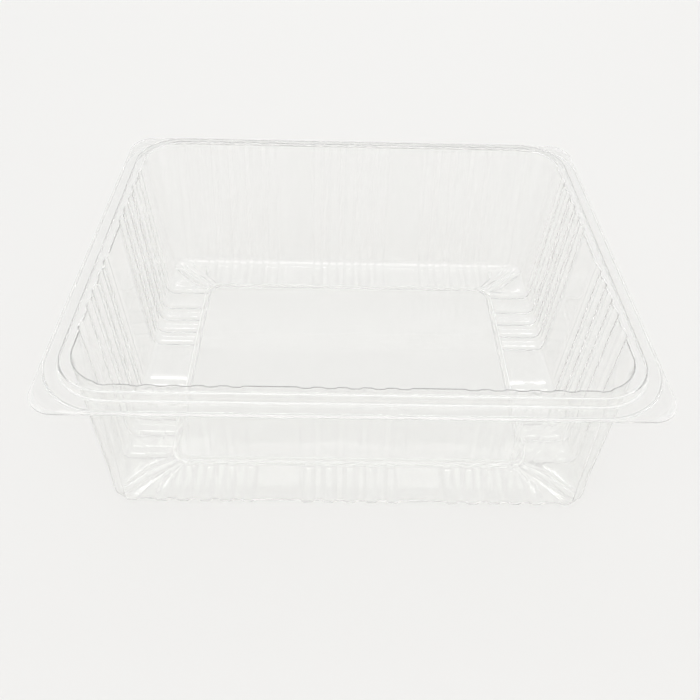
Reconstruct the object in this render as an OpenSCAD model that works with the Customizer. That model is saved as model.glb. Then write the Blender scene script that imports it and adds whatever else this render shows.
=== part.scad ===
// Clear plastic food tray, moulded in one piece from one thin sheet.
// Open at the top, with sloping fluted walls, a flat sealing land with a
// flange below it, corner ears, and a base with a raised middle panel.
// Millimetres. X is the length, Y the width, Z is up, and the origin is the
// middle of the footprint on the ground.

/* [Tray] */
// Length over the outer edge of the sealing land
rim_length = 235; // [200:1:270]
// Width over the outer edge of the sealing land
rim_width = 196; // [165:1:225]
// Height of the sealing land above the ground
height = 82; // [50:0.5:110]
// Length of the foot of the walls
base_length = 211; // [170:1:220]
// Width of the foot of the walls
base_width = 175; // [135:0.5:180]
// Thickness of the sheet
sheet = 0.6; // [0.4:0.05:0.9]

/* [Rim] */
// Width of the flat sealing land round the mouth
land_width = 4.6; // [3.6:0.1:7]
// Corner radius of the outer edge of the land
land_corner = 23; // [18:0.5:30]
// Corner radius of the mouth, inside the land
mouth_corner = 20; // [14:0.5:26]
// Drop from the land down to the flange
step_drop = 4; // [2:0.1:5]
// Slope of the step, measured outward
step_run = 0.8; // [0.4:0.1:1.5]
// Width of the flange outside the step
flange_width = 6.6; // [5:0.1:10]
// Corner radius of the trimmed edge, small so that each corner has an ear
ear_corner = 12; // [8:0.5:18]
// Width of the thin lip along the trimmed edge
lip_width = 1.1; // [0.8:0.1:2]
// Drop from the flange down to the lip and the ears
lip_drop = 0.5; // [0.4:0.1:1.2]

/* [Flutes] */
// Width of a flute where it leaves the wall
flute_width = 6.6; // [4:0.1:7.2]
// Width of the flat bottom of a flute
flute_flat = 4.6; // [2:0.1:5]
// Depth of a flute in the wall
flute_depth = 0.9; // [0.6:0.1:2]
// Depth of a flute under the base
foot_depth = 0.9; // [0.5:0.1:1.5]
// Distance from flute to flute on the long walls
long_pitch = 9.5; // [7.5:0.05:10]
// Distance from flute to flute on the short walls
short_pitch = 10.1; // [8:0.05:11]
// Distance between the end flutes of two groups on a long wall
long_gap = 26.5; // [20:0.5:30]
// Distance between the two groups on a short wall
short_gap = 33; // [24:0.5:38]
// Distance from the last group to the single flute by the corner
end_gap = 13.5; // [11:0.5:18]
// Flutes in each of the three groups of a long wall
long_count = 5; // [3:2:5]
// Flutes in each of the two groups of a short wall
short_count = 4; // [2:1:4]

/* [Base] */
// Radius of the heel between wall and base
heel_radius = 4.5; // [3:0.25:7]
// Corner radius of the foot of the walls
foot_corner = 10; // [8:0.5:14]
// Width of the low band between the heel and the raised panel
band_width = 23.5; // [14:0.5:28]
// Rise of the middle panel above the band
panel_rise = 1.3; // [0.6:0.1:2.5]
// Corner radius of the raised panel
panel_corner = 8; // [5:0.5:14]
// Depth of the diagonal rib at each corner of the base
corner_rib_depth = 0.9; // [0.4:0.1:0.9]

/* [Hidden] */
clear_colour = [0.9, 0.94, 0.96, 0.35];
corner_points = 6;
flute_fade = 2.6;
panel_slope = 0.9;

// Heights of the upper skin.
z_band = sheet + foot_depth;
z_panel = z_band + panel_rise;
z_flange = height - step_drop;
z_lip = z_flange - lip_drop;

// Half sizes of the mouth and of the foot of the walls.
mouth_x = rim_length / 2 - land_width;
mouth_y = rim_width / 2 - land_width;
foot_x = min(base_length / 2, mouth_x - 2);
foot_y = min(base_width / 2, mouth_y - 2);

// Lean of the walls from the vertical.
lean_x = atan((mouth_x - foot_x) / (height - z_band));
lean_y = atan((mouth_y - foot_y) / (height - z_band));
wall_depth = min(flute_depth, land_width - 2.6 * sheet);

// Half sizes of the flange, outside its step.
step_x = rim_length / 2 + step_run;
step_y = rim_width / 2 + step_run;
edge_x = step_x + flange_width;
edge_y = step_y + flange_width;
lip_x = edge_x - lip_width;
lip_y = edge_y - lip_width;

// Middles of the flutes on one half of a wall. A wall that is too short for
// the spacing has all of its flutes drawn together by the same share.
long_half = (long_count - 1) / 2;
long_plain = [
    for (i = [0 : long_half]) i * long_pitch,
    for (i = [0 : long_count - 1]) long_half * long_pitch + long_gap + i * long_pitch,
    (long_half + long_count - 1) * long_pitch + long_gap + end_gap
];
short_plain = [
    for (i = [0 : short_count - 1]) short_gap / 2 + i * short_pitch,
    short_gap / 2 + (short_count - 1) * short_pitch + end_gap
];
long_share = min(1, (foot_x - foot_corner / 2 - flute_width / 2) / long_plain[len(long_plain) - 1]);
short_share = min(1, (foot_y - foot_corner - flute_width / 2) / short_plain[len(short_plain) - 1]);
long_flutes = long_plain * long_share;
short_flutes = short_plain * short_share;
long_wide = min(flute_width, 0.8 * long_pitch * long_share);
short_wide = min(flute_width, 0.8 * short_pitch * short_share);

// Places along a half wall, each with 1 on the flat of a flute and 0 beside
// it. The flute that lies across the middle of a wall gives its one half.
function edges(middle, wide) = let (flat = min(flute_flat, wide - 1)) [
    if (middle > wide) [middle - wide / 2, 0],
    if (middle > wide) [middle - flat / 2, 1],
    [middle + flat / 2, 1],
    [middle + wide / 2, 0]
];
long_places = [for (m = long_flutes) each edges(m, long_wide)];
short_places = [for (m = short_flutes) each edges(m, short_wide)];

// Where a place comes on a ring. A small ring draws its last places in, so
// that they don't run past the middle of the corner.
function drawn_in(place, last, limit) = let (free = 0.92 * limit)
    last <= limit || place <= free ? place
    : free + (place - free) * (limit - free) / (last - free);

// Half size of a ring at a place along the side, with the corner taken off.
function side_at(place, half, across, radius) = let (over = place - (half - radius))
    over <= 0 ? across : across - radius + sqrt(radius * radius - over * over);

// One quarter of a ring, from the middle of the short wall round the corner
// to the middle of the long wall. A ring is
// [half x, half y, corner radius, height, flute outward, flute up, corner rib].
function quarter(ring) = let (
    hx = ring[0], hy = ring[1], r = ring[2], z = ring[3], out = ring[4], up = ring[5], rib = ring[6],
    last_x = long_places[len(long_places) - 1][0],
    last_y = short_places[len(short_places) - 1][0],
    end_x = drawn_in(last_x, last_x, hx - r / 2),
    end_y = drawn_in(last_y, last_y, hy - r / 2),
    low = end_y > hy - r ? asin((end_y - (hy - r)) / r) : 0,
    high = end_x > hx - r ? acos((end_x - (hx - r)) / r) : 90,
    first = low > 0 ? low + (high - low) / (corner_points + 1) : 0,
    final = high < 90 ? high - (high - low) / (corner_points + 1) : 90
) [
    for (p = short_places) let (y = drawn_in(p[0], last_y, hy - r / 2))
        [side_at(y, hy, hx, r) + p[1] * out, y, z + p[1] * up],
    for (i = [0 : corner_points - 1]) let (
        a = first + (final - first) * i / (corner_points - 1),
        deep = (i == 2 || i == 3) ? rib : 0
    ) [hx - r + r * cos(a) + deep * out * 0.7, hy - r + r * sin(a) + deep * out * 0.7, z + deep * up],
    for (i = [len(long_places) - 1 : -1 : 0]) let (
        p = long_places[i],
        x = drawn_in(p[0], last_x, hx - r / 2)
    ) [x, side_at(x, hx, hy, r) + p[1] * out, z + p[1] * up]
];

// A whole ring: the quarter and its three mirror images, anticlockwise.
function whole(q) = let (n = len(q)) [
    for (p = q) p,
    for (i = [n - 1 : -1 : 0]) [-q[i][0], q[i][1], q[i][2]],
    for (p = q) [-p[0], -p[1], p[2]],
    for (i = [n - 1 : -1 : 0]) [q[i][0], -q[i][1], q[i][2]]
];

// A ring on the heel, at an angle that is 0 at the base and 1 at the wall.
function heel(share) = let (
    tx = share * (90 - lean_x), ty = share * (90 - lean_y),
    back_x = heel_radius * tan((90 - lean_x) / 2), back_y = heel_radius * tan((90 - lean_y) / 2),
    in_x = heel_radius * sin(tx) - back_x
) [
    foot_x + in_x,
    foot_y + heel_radius * sin(ty) - back_y,
    foot_corner + in_x,
    z_band + heel_radius * (1 - cos(tx)),
    wall_depth * sin(tx),
    -foot_depth * cos(tx),
    share < 0.9 ? corner_rib_depth / foot_depth : 0
];

// The upper skin, from the raised panel out to the trimmed edge.
panel_x = foot_x - band_width;
panel_y = foot_y - band_width;
upper = [
    [panel_x - panel_slope, panel_y - panel_slope, panel_corner - panel_slope, z_panel, 0, 0, 0],
    [panel_x, panel_y, panel_corner, z_band, 0, 0, 0],
    [panel_x + flute_fade, panel_y + flute_fade, panel_corner + flute_fade / 2, z_band,
        0, -foot_depth, corner_rib_depth / foot_depth],
    heel(0),
    heel(0.5),
    heel(1),
    [mouth_x, mouth_y, mouth_corner, height, wall_depth, 0, 0],
    [rim_length / 2, rim_width / 2, land_corner, height, 0, 0, 0],
    [step_x, step_y, land_corner + step_run, z_flange, 0, 0, 0],
    [lip_x, lip_y, land_corner + step_run + flange_width - lip_width, z_flange, 0, 0, 0],
    [lip_x + lip_width / 3, lip_y + lip_width / 3,
        land_corner + step_run + flange_width - lip_width * 2 / 3, z_lip, 0, 0, 0],
    [edge_x, edge_y, ear_corner, z_lip, 0, 0, 0]
];
last_ring = len(upper) - 1;

// The lower skin lies one sheet below or outside the upper one.
function below(a, b) = let (dx = b[0] - a[0], dz = b[3] - a[3], d = sqrt(dx * dx + dz * dz)) [dz / d, -dx / d];
function under(i) = let (
    n1 = below(upper[max(i - 1, 0)], upper[max(i, 1)]),
    n2 = below(upper[min(i, last_ring - 1)], upper[min(i + 1, last_ring)]),
    k = sheet / (1 + n1[0] * n2[0] + n1[1] * n2[1]),
    out = (n1[0] + n2[0]) * k,
    r = upper[i]
) [r[0] + out, r[1] + out, r[2] + out, r[3] + (n1[1] + n2[1]) * k, r[4], r[5], r[6]];

rings = [
    for (r = upper) whole(quarter(r)),
    for (i = [last_ring : -1 : 0]) whole(quarter(under(i)))
];
around = len(rings[0]);

// One closed skin: the panel above, the upper skin outward, the trimmed edge,
// the lower skin back inward, and the panel below. Each panel is a fan of
// triangles round its own middle point.
module tray() {
    count = len(rings) * around;
    color(clear_colour)
    polyhedron(
        points = [
            for (r = rings) each r,
            [0, 0, rings[0][0][2]],
            [0, 0, rings[len(rings) - 1][0][2]]
        ],
        faces = [
            for (i = [0 : around - 1]) [(i + 1) % around, i, count],
            for (k = [0 : len(rings) - 2], i = [0 : around - 1]) let (
                a = k * around + i,
                b = k * around + (i + 1) % around
            ) each [[a, b, b + around], [a, b + around, a + around]],
            for (i = [0 : around - 1])
                [count - around + i, count - around + (i + 1) % around, count + 1]
        ],
        convexity = 8
    );
}

tray();
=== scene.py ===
# Clear plastic food tray: one thin sheet of PET, drawn down into a mould and
# trimmed, standing empty on a pale surface.

import math

import bpy
import numpy as np
from mathutils import Matrix, Vector


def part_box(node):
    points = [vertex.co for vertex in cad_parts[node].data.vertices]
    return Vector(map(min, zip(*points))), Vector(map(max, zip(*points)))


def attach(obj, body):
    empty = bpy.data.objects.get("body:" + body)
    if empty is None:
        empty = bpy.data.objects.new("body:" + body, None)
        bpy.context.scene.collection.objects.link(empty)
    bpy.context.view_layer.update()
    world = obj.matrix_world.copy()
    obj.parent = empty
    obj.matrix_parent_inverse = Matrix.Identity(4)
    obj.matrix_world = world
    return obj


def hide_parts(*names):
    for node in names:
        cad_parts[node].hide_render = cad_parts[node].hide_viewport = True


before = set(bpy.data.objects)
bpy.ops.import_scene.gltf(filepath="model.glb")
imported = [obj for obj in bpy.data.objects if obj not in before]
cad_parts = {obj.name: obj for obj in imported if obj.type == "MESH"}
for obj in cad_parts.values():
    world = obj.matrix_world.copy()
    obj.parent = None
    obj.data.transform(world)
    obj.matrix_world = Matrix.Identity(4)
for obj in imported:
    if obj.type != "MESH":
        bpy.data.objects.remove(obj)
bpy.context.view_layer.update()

scene = bpy.context.scene
scene.view_settings.view_transform = "Standard"


# Camera.
# The photographer stands in front of a long wall and looks down into the
# tray. The picture's centre line runs through its row 249, not its middle
# row 350, which the small vertical shift gives.

picture_width = 700
focal_pixels = 820
centre_row = 249.3
sensor_width = 36
look_down = math.radians(36.55)
turn_right = math.radians(1.36)
lean_over = math.radians(1.82)
eye = Vector((-0.0089, -0.3144, 0.3112))

camera_data = bpy.data.cameras.new("camera")
camera_data.sensor_width = sensor_width
camera_data.lens = sensor_width * focal_pixels / picture_width
camera_data.shift_y = -(picture_width / 2 - centre_row) / picture_width
camera_data.clip_start = 0.01
camera = bpy.data.objects.new("camera", camera_data)
scene.collection.objects.link(camera)

ahead = Vector((
    math.sin(turn_right) * math.cos(look_down),
    math.cos(turn_right) * math.cos(look_down),
    -math.sin(look_down),
))
level = Vector((math.cos(turn_right), -math.sin(turn_right), 0))
upright = level.cross(ahead)
camera_right = level * math.cos(lean_over) + upright * math.sin(lean_over)
camera_up = upright * math.cos(lean_over) - level * math.sin(lean_over)
camera.matrix_world = Matrix((
    (camera_right.x, camera_up.x, -ahead.x, eye.x),
    (camera_right.y, camera_up.y, -ahead.y, eye.y),
    (camera_right.z, camera_up.z, -ahead.z, eye.z),
    (0, 0, 0, 1),
))
scene.camera = camera


# Moulded sheet.
# One sheet of clear PET, heated and drawn into the mould: a flat sealing
# land round the mouth, a step down to the flange and its corner ears, fluted
# walls, a heel, and a base with a raised middle panel.

mm = 0.001
sheet = 0.6 * mm

land_width = 4.6 * mm
land_corner = 23 * mm
land_round = 0.8 * mm
mouth_corner = 20 * mm
mouth_round = 0.9 * mm
step_drop = 4 * mm
step_run = 0.8 * mm
flange_width = 6.6 * mm
ear_corner = 12 * mm
lip_width = 1.1 * mm
lip_slope = 0.363 * mm
lip_drop = 0.5 * mm
lip_round = 0.25 * mm

base_length = 211 * mm
base_width = 175 * mm
foot_corner = 10 * mm
heel_radius = 4.5 * mm
band_width = 23.5 * mm
panel_rise = 1.3 * mm
panel_corner = 8 * mm
panel_slope = 0.9 * mm
panel_round = 0.4 * mm

flute_width = 6.6 * mm
flute_flat = 2.6 * mm
wall_flute = 0.7 * mm
foot_flute = 0.9 * mm
flute_fade = 2.6 * mm
end_fade = 1.5 * mm

# Outlines, each a half length, a half width and a corner radius: the trimmed
# edge, the land's outer edge, the mouth, the foot that the walls stand on,
# the raised panel, and a small one round the middle of the base.
tray_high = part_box("tray")[1]
edge = np.array([tray_high[0], tray_high[1], ear_corner])
land = np.append(edge[:2] - flange_width - step_run, land_corner)
mouth = np.append(land[:2] - land_width, mouth_corner)
foot = np.array([base_length / 2, base_width / 2, foot_corner])
panel = np.append(foot[:2] - band_width, panel_corner)
middle = np.array([12, 9, 4]) * mm

height = tray_high[2]
z_flange = height - step_drop
z_lip = z_flange - lip_drop
z_band = sheet + foot_flute
z_panel = z_band + panel_rise

# Middles of the flutes on a long wall (along X) and on a short wall (along
# Y): groups at an even pitch, and one single flute beyond each end.
long_pitch = 9.5 * mm
group_spacing = 64.5 * mm
long_single = 97 * mm
long_group = np.arange(-2, 3) * long_pitch
long_flutes = np.sort(np.concatenate([
    long_group - group_spacing,
    long_group,
    long_group + group_spacing,
    [-long_single, long_single],
]))
short_pitch = 10.1 * mm
short_start = 16.5 * mm
short_single = 60.3 * mm
short_group = short_start + np.arange(4) * short_pitch
short_flutes = np.sort(np.concatenate([
    short_group,
    -short_group,
    [-short_single, short_single],
]))


def flute_form(distance):
    """How deep a flute is beside its middle line, from 1 to 0: (1 + cos(pi t)) / 2, where t runs
    from 0 at the edge of its flat to 1 at the edge of the flute."""
    t = np.clip((np.abs(distance) - flute_flat / 2) / (flute_width / 2 - flute_flat / 2), 0, 1)
    return (1 + np.cos(np.pi * t)) / 2


flank_points = 4
gap_shares = [0.2, 0.8]


def wall_places(middles):
    """Places along the positive half of a wall: each flute's middle plus an even spread over each
    of its two flanks, and in each gap between two flutes its start plus the gap's shares."""
    flank = np.linspace(flute_flat / 2, flute_width / 2, flank_points)
    over = np.concatenate([-flank[::-1], flank])
    on_flutes = (middles[:, None] + over).ravel()
    starts = middles[:-1, None] + flute_width / 2
    gaps = np.diff(middles)[:, None] - flute_width
    between = (starts + gaps * gap_shares).ravel()
    places = np.sort(np.concatenate([on_flutes, between]))
    return places[places > 0]


def nearest_flute(places, middles):
    """Distance from each place to the nearest flute's middle line."""
    return np.min(np.abs(places[:, None] - middles), axis=1)


long_places = wall_places(long_flutes)
short_places = wall_places(short_flutes)
long_form = flute_form(nearest_flute(long_places, long_flutes))
short_form = flute_form(nearest_flute(short_places, short_flutes))

corner_points = 16
corner_share = np.linspace(0, 1, corner_points + 2)[1:-1]
free_share = 0.96


def drawn_in(places, limit):
    """Places kept as they are up to the free share of the limit. Past that they close up evenly,
    so that the last one comes on the limit and stays short of the middle of the corner."""
    last = places[-1]
    free = free_share * limit
    closed = free + (places - free) * (limit - free) / (last - free)
    return np.where((last <= limit) | (places <= free), places, closed)


def rings(rows):
    """Rounded rectangles, one for each row of half x, half y, corner radius, height, flute
    outward, flute up and corner rib. On a side the half size falls off past the start of the
    corner as r - sqrt(r^2 - over^2); in the corner a point is the corner's middle plus
    r (cos a, sin a). A flute is scaled by 1 - d / end_fade, where d is how far its place was
    drawn in. One quarter is mirrored to give the rest."""
    hx, hy, r, z, out, up, rib = [column[:, None] for column in rows.T]

    y = drawn_in(short_places, hy - r / 2)
    over = np.clip(y - (hy - r), 0, None)
    x = hx - r + np.sqrt(r * r - over * over)
    flute = short_form * np.clip(1 - (short_places - y) / end_fade, 0, 1)
    short_side = np.stack([x + flute * out, y, z + flute * up], axis=2)

    x_long = drawn_in(long_places, hx - r / 2)
    over = np.clip(x_long - (hx - r), 0, None)
    y_long = hy - r + np.sqrt(r * r - over * over)
    flute = long_form * np.clip(1 - (long_places - x_long) / end_fade, 0, 1)
    long_side = np.stack([x_long, y_long + flute * out, z + flute * up], axis=2)

    low = np.arcsin(np.clip((y[:, -1:] - (hy - r)) / r, 0, 1))
    high = np.arccos(np.clip((x_long[:, -1:] - (hx - r)) / r, 0, 1))
    angle = low + (high - low) * corner_share
    rib_form = flute_form((corner_share - 0.5) * (high - low) * r) * rib
    round_r = r + rib_form * out
    corner = np.stack([
        hx - r + round_r * np.cos(angle),
        hy - r + round_r * np.sin(angle),
        z + rib_form * up,
    ], axis=2)

    quarter = np.concatenate([short_side, corner, long_side[:, ::-1]], axis=1)
    back = quarter[:, ::-1]
    return np.concatenate([
        quarter,
        back * [-1, 1, 1],
        quarter * [-1, -1, 1],
        back * [1, -1, 1],
    ], axis=1)


def eased(rows, rounds, counts, longest):
    """The section of the sheet with its corners eased. Each row with a round of d is replaced by
    the curve (1-t)^2 A + 2t(1-t) C + t^2 B, where A and B lie d before and after the row C, with
    one more row just beyond each end, so that the flat beside it shades flat. Straight stretches
    are then cut evenly, so that none is longer than the given length."""
    beyond = 0.2 * mm
    length = np.hypot(*np.diff(rows[:, [0, 3]], axis=0).T)
    made = [rows[:1]]
    for i in range(1, len(rows) - 1):
        if rounds[i] == 0:
            made.append(rows[i:i + 1])
            continue
        backward = (rows[i - 1] - rows[i]) / length[i - 1]
        forward = (rows[i + 1] - rows[i]) / length[i]
        start = rows[i] + backward * rounds[i]
        end = rows[i] + forward * rounds[i]
        t = np.linspace(0, 1, counts[i])[:, None]
        curve = (1 - t) ** 2 * start + 2 * t * (1 - t) * rows[i] + t ** 2 * end
        made += [(start + backward * beyond)[None], curve, (end + forward * beyond)[None]]
    made.append(rows[-1:])
    made = np.concatenate(made)
    gap = np.hypot(*np.diff(made[:, [0, 3]], axis=0).T)
    cuts = np.maximum(1, np.ceil(gap / longest)).astype(int)
    at = np.concatenate([i + np.arange(c) / c for i, c in enumerate(cuts)] + [[len(gap)]])
    return np.stack([np.interp(at, np.arange(len(made)), column) for column in made.T], axis=1)


# The heel is an arc that turns from the flat band up into the lean of the
# wall. Along it the flutes swing from down to outward, the corners open up,
# and the corner rib grows shallower.
lean = math.atan((mouth[0] - foot[0]) / (height - z_band))
heel_turn = math.pi / 2 - lean
heel_round = heel_radius * math.tan(heel_turn / 2)
heel_tuck = 0.5 * heel_round
heel_points = 5
rib_loss = 0.6
heel_rows = []
for share in np.linspace(0, 1, heel_points):
    inward = heel_round - heel_radius * math.sin(share * heel_turn)
    heel_rows.append((
        foot - [inward, inward, heel_tuck * (1 - share)],
        z_band + heel_radius * (1 - math.cos(share * heel_turn)),
        wall_flute * math.sin(share * math.pi / 2),
        -foot_flute * math.cos(share * math.pi / 2),
        1 - rib_loss * share ** 2,
        0,
        1,
    ))

# The section from the raised panel out to the trimmed edge. Each row is an
# outline, its height, how far a flute moves it outward and upward, the share
# of a flute that the corner rib has there, the round on the row, and the
# number of points in that round.
flute_start = panel + 0.5 * flute_fade
flute_full = panel + flute_fade * np.array([1, 1, 0.5])
start_share = 0.45
start_round = 0.5 * mm
full_round = 1.0 * mm
rib_end = 0.17
longest_step = 9 * mm
lip = land + step_run + flange_width - lip_width
section = [
    (middle, z_panel, 0, 0, 0, 0, 1),
    (panel - panel_slope, z_panel, 0, 0, 0, panel_round, 4),
    (panel, z_band, 0, 0, 0, panel_round, 4),
    (flute_start, z_band, 0, -start_share * foot_flute, start_share, start_round, 3),
    (flute_full, z_band, 0, -foot_flute, 1, full_round, 3),
    *heel_rows,
    (foot + rib_end * (mouth - foot), z_band + rib_end * (height - z_band), wall_flute, 0, 0, 0, 1),
    (mouth, height, wall_flute, 0, 0, mouth_round, 6),
    (land, height, 0, 0, 0, land_round, 6),
    (land + step_run, z_flange, 0, 0, 0, land_round, 6),
    (lip, z_flange, 0, 0, 0, lip_round, 3),
    (lip + lip_slope, z_lip, 0, 0, 0, lip_round, 3),
    (edge, z_lip, 0, 0, 0, 0, 1),
]
section_rows = eased(
    np.array([[*outline, z, out, up, rib] for outline, z, out, up, rib, _, _ in section]),
    [size for *_, size, _ in section],
    [count for *_, count in section],
    longest_step,
)
upper = rings(section_rows)


def sheet_normals(surface):
    """Unit normals of a closed ring grid, out of the upper face: the step along the section
    crossed with the step round the ring."""
    round_step = np.roll(surface, -1, axis=1) - np.roll(surface, 1, axis=1)
    out_step = np.gradient(surface, axis=0)
    normal = np.cross(out_step, round_step)
    return normal / np.linalg.norm(normal, axis=2, keepdims=True)


# Waves of the uneven draw, 20 to 40 mm long: how fast each one turns along X,
# Y and Z, and where it starts.
wave_turns = np.array([
    [1 / 6.1, 0, 1 / 9],
    [0, 1 / 5.3, -1 / 7],
    [1 / 8.7, 1 / 8.7, 0],
    [1 / 4.9, -1 / 4.9, 1 / 12],
]) / mm
wave_starts = np.array([0.4, 1.9, 2.3, 0])


def ripples(surface):
    """Uneven draw of a hot sheet: the mean of sin(k . p + s) over the four waves, where k holds a
    wave's turns, s is its start and p is the point."""
    return np.mean(np.sin(surface @ wave_turns.T + wave_starts), axis=-1)


# The ripples fade out towards the land, the flange and the feet, which stay
# flat, and are strongest on the middle of the walls and on the raised panel.
wall_ripple = 0.10 * mm
panel_ripple = 0.07 * mm
wall_fades = [6 * mm, 16 * mm, height - 16 * mm, height - 4 * mm]
panel_fades = [panel[0] - 14 * mm, panel[0] - 4 * mm]
row_reach, row_height = section_rows[:, 0], section_rows[:, 3]
on_wall = np.interp(row_height, wall_fades, [0, 1, 1, 0]) * (row_reach < mouth[0])
on_panel = np.interp(row_reach, panel_fades, [1, 0])
ripple_depth = (wall_ripple * on_wall + panel_ripple * on_panel)[:, None]

upper = upper + sheet_normals(upper) * (ripples(upper) * ripple_depth)[..., None]
outward = sheet_normals(upper)
lower = upper - outward * sheet
lower[..., 2] = np.maximum(lower[..., 2], 0)

clear_milk = 0.07
base_milk = 0.13
bend_milk = 0.35
cut_milk = 0.35
base_fades = [2 * mm, 5 * mm]
tight_bend = 0.5 * mm


def milkiness(surface, normal):
    """Share of the light that the sheet scatters: a little everywhere, more in the base, which is
    drawn least and stays thickest, and most where it was bent tightly over the mould and along
    the cut edge. The bend goes from 0 on a flat to 1 at the tight bend's radius: the turn of the
    normal between two neighbours over the distance between them, across or along the section,
    whichever is more, times that radius."""
    round_turn = np.roll(normal, -1, axis=1) - np.roll(normal, 1, axis=1)
    round_gap = np.roll(surface, -1, axis=1) - np.roll(surface, 1, axis=1)
    out_turn = np.gradient(normal, axis=0)
    out_gap = np.gradient(surface, axis=0)
    round_bend = np.linalg.norm(round_turn, axis=2) / np.linalg.norm(round_gap, axis=2)
    out_bend = np.linalg.norm(out_turn, axis=2) / np.linalg.norm(out_gap, axis=2)
    bend = np.clip(np.maximum(round_bend, out_bend) * tight_bend, 0, 1)
    in_base = np.interp(surface[..., 2], base_fades, [1, 0])
    share = clear_milk + base_milk * in_base + bend_milk * bend
    share[-1] = cut_milk
    return share


def closed_sheet(name, top, under, milk):
    """One closed mesh from the two faces of the sheet: the top grid outward, the under grid back
    inward, quads between neighbours, and a fan of triangles round the middle point of each face.
    Each point keeps its share of milk."""
    count, around = top.shape[:2]
    grid = np.concatenate([top, under[::-1]]).reshape(-1, 3)
    poles = np.array([[0, 0, top[0, 0, 2]], [0, 0, under[0, 0, 2]]])
    points = np.concatenate([grid, poles])
    here = np.arange(2 * count * around).reshape(2 * count, around)
    beside = np.roll(here, -1, axis=1)
    quads = np.stack([here[:-1], here[1:], beside[1:], beside[:-1]], axis=2).reshape(-1, 4)
    pole = np.full(around, len(grid))
    fan_top = np.stack([here[0], beside[0], pole], axis=1)
    fan_under = np.stack([beside[-1], here[-1], pole + 1], axis=1)
    faces = quads.tolist() + fan_top.tolist() + fan_under.tolist()
    mesh = bpy.data.meshes.new(name)
    mesh.from_pydata(points.tolist(), [], faces)
    mesh.polygons.foreach_set("use_smooth", np.ones(len(mesh.polygons), dtype=bool))
    mesh.set_sharp_from_angle(angle=math.radians(60))
    milks = np.concatenate([milk.ravel(), milk[::-1].ravel(), milk[0, :1], milk[0, :1]])
    mesh.attributes.new("milk", "FLOAT", "POINT").data.foreach_set("value", milks)
    made = bpy.data.objects.new(name, mesh)
    scene.collection.objects.link(made)
    return made


tray = closed_sheet("tray_sheet", upper, lower, milkiness(upper, outward))
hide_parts("tray")
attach(tray, "root")


# Clear plastic.
# Clear PET, glossy on both faces, bending light as a sheet of index 1.575
# does. It is faintly milky, and whiter where it was bent tightly over the
# mould. The draw leaves its faces softly uneven.

resin_tint = (0.972, 0.973, 0.968, 1)
haze_white = (0.90, 0.90, 0.89, 1)
passing_tint = (0.975, 0.975, 0.972, 1)

plastic = bpy.data.materials.new("clear_plastic")
plastic.use_nodes = True
nodes, links = plastic.node_tree.nodes, plastic.node_tree.links
resin = nodes["Principled BSDF"]
resin.inputs["Base Color"].default_value = resin_tint
resin.inputs["IOR"].default_value = 1.575
resin.inputs["Transmission Weight"].default_value = 1

place = nodes.new("ShaderNodeTexCoord")
draw_noise = nodes.new("ShaderNodeTexNoise")
draw_noise.inputs["Scale"].default_value = 45
draw_noise.inputs["Detail"].default_value = 1
links.new(place.outputs["Object"], draw_noise.inputs["Vector"])
unevenness = nodes.new("ShaderNodeBump")
unevenness.inputs["Strength"].default_value = 0.04
unevenness.inputs["Distance"].default_value = 0.6 * mm
links.new(draw_noise.outputs["Fac"], unevenness.inputs["Height"])
links.new(unevenness.outputs["Normal"], resin.inputs["Normal"])
polish = nodes.new("ShaderNodeMapRange")
polish.inputs["From Min"].default_value = 0.35
polish.inputs["From Max"].default_value = 0.70
polish.inputs["To Min"].default_value = 0.01
polish.inputs["To Max"].default_value = 0.03
links.new(draw_noise.outputs["Fac"], polish.inputs["Value"])
links.new(polish.outputs["Result"], resin.inputs["Roughness"])

haze = nodes.new("ShaderNodeBsdfDiffuse")
haze.inputs["Color"].default_value = haze_white
milk_share = nodes.new("ShaderNodeAttribute")
milk_share.attribute_name = "milk"
body = nodes.new("ShaderNodeMixShader")
links.new(milk_share.outputs["Fac"], body.inputs["Fac"])
links.new(resin.outputs["BSDF"], body.inputs[1])
links.new(haze.outputs["BSDF"], body.inputs[2])

# Lamplight and the light between the table and the room pass straight
# through the sheet and lose a little at each face.
passing = nodes.new("ShaderNodeBsdfTransparent")
passing.inputs["Color"].default_value = passing_tint
ray = nodes.new("ShaderNodeLightPath")
seen_face = nodes.new("ShaderNodeMixShader")
links.new(ray.outputs["Is Diffuse Ray"], seen_face.inputs["Fac"])
links.new(body.outputs["Shader"], seen_face.inputs[1])
links.new(passing.outputs["BSDF"], seen_face.inputs[2])
lit_face = nodes.new("ShaderNodeMixShader")
links.new(ray.outputs["Is Shadow Ray"], lit_face.inputs["Fac"])
links.new(seen_face.outputs["Shader"], lit_face.inputs[1])
links.new(passing.outputs["BSDF"], lit_face.inputs[2])
links.new(lit_face.outputs["Shader"], nodes["Material Output"].inputs["Surface"])
tray.data.materials.append(plastic)

# A line of sight can cross the flange, both walls and the base, and each
# crossing is two faces.
scene.cycles.transparent_max_bounces = 24
scene.cycles.transmission_bounces = 16
scene.cycles.max_bounces = 18


# Table top.
# A wide matt white surface, far larger than the view, just under the tray's
# feet. Its colour is painted a little greyer on the photographer's side:
# painted shade, standing in for light that falls off towards the front.

table_half = 6.0
table_gap = 0.3 * mm
# Painted shade: the table's colour runs from the darker near grey at the front to the far white at
# the back, for light falling off towards the photographer.
near_painted_shade = (0.76, 0.753, 0.74, 1)
far_white = (0.94, 0.935, 0.92, 1)
near_depth = -0.3
far_depth = 0.7

corner_signs = [(-1, -1), (1, -1), (1, 1), (-1, 1)]
table_mesh = bpy.data.meshes.new("table_top")
table_mesh.from_pydata(
    [(across * table_half, along * table_half, -table_gap) for across, along in corner_signs],
    [],
    [(0, 1, 2, 3)],
)
table = bpy.data.objects.new("table_top", table_mesh)
scene.collection.objects.link(table)

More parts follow.
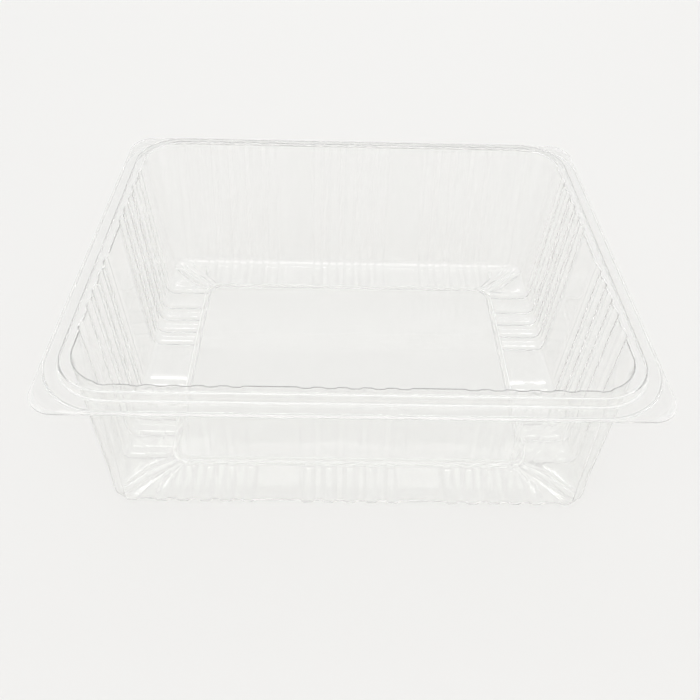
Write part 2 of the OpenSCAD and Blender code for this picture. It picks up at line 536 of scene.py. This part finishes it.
white_top = bpy.data.materials.new("white_top")
white_top.use_nodes = True
top_nodes, top_links = white_top.node_tree.nodes, white_top.node_tree.links
top_shader = top_nodes["Principled BSDF"]
top_shader.inputs["Roughness"].default_value = 0.7
top_shader.inputs["Specular IOR Level"].default_value = 0.2
top_place = top_nodes.new("ShaderNodeTexCoord")
top_split = top_nodes.new("ShaderNodeSeparateXYZ")
top_depth = top_nodes.new("ShaderNodeMapRange")
top_depth.inputs["From Min"].default_value = near_depth
top_depth.inputs["From Max"].default_value = far_depth
# Painted shade: this mix darkens the table's colour towards the front by its depth along Y.
painted_shade_mix = top_nodes.new("ShaderNodeMix")
painted_shade_mix.data_type = "RGBA"
painted_shade_mix.inputs["A"].default_value = near_painted_shade
painted_shade_mix.inputs["B"].default_value = far_white
top_links.new(top_place.outputs["Object"], top_split.inputs["Vector"])
top_links.new(top_split.outputs["Y"], top_depth.inputs["Value"])
top_links.new(top_depth.outputs["Result"], painted_shade_mix.inputs["Factor"])
top_links.new(painted_shade_mix.outputs["Result"], top_shader.inputs["Base Color"])
table_mesh.materials.append(white_top)


# Daylight.
# Soft even light from a pale room, a little darker overhead, and five soft
# lamps, which give the edges and flutes their white lines.

horizon_grey = (0.885, 0.885, 0.885, 1)
overhead_grey = (0.68, 0.68, 0.68, 1)
overhead_from = 0.5

world = bpy.data.worlds.new("room")
world.use_nodes = True
scene.world = world
room_nodes, room_links = world.node_tree.nodes, world.node_tree.links
room = room_nodes["Background"]
room.inputs["Strength"].default_value = 1.0
direction = room_nodes.new("ShaderNodeTexCoord")
split = room_nodes.new("ShaderNodeSeparateXYZ")
room_links.new(direction.outputs["Generated"], split.inputs["Vector"])
brightness = room_nodes.new("ShaderNodeValToRGB")
horizon, overhead = brightness.color_ramp.elements
horizon.position = 0.0
horizon.color = horizon_grey
overhead.position = overhead_from
overhead.color = overhead_grey
room_links.new(split.outputs["Z"], brightness.inputs["Fac"])
room_links.new(brightness.outputs["Color"], room.inputs["Color"])

lamp_aim = Vector((0, 0, 0.04))


def soft_lamp(name, place, width, depth, power):
    """A flat soft lamp of this width and depth in metres and power in watts, at place and turned
    to the middle of the tray."""
    lamp_data = bpy.data.lights.new(name, "AREA")
    lamp_data.shape = "RECTANGLE"
    lamp_data.size = width
    lamp_data.size_y = depth
    lamp_data.energy = power
    lamp = bpy.data.objects.new(name, lamp_data)
    lamp.location = place
    lamp.rotation_mode = "QUATERNION"
    lamp.rotation_quaternion = (lamp_aim - Vector(place)).to_track_quat("-Z", "Y")
    scene.collection.objects.link(lamp)


soft_lamp("back_lamp", (0, 1.75, 2.75), 2.4, 0.8, 5.5)
soft_lamp("narrow_lamp", (0, 1.6, 2.7), 1.7, 0.35, 9.0)
soft_lamp("left_lamp", (-1.2, -0.5, 0.4), 0.6, 0.4, 1.2)
soft_lamp("right_lamp", (1.2, -0.3, 0.4), 0.6, 0.4, 1.2)
soft_lamp("front_lamp", (0, -0.85, 1.2), 1.8, 0.8, 8.5)
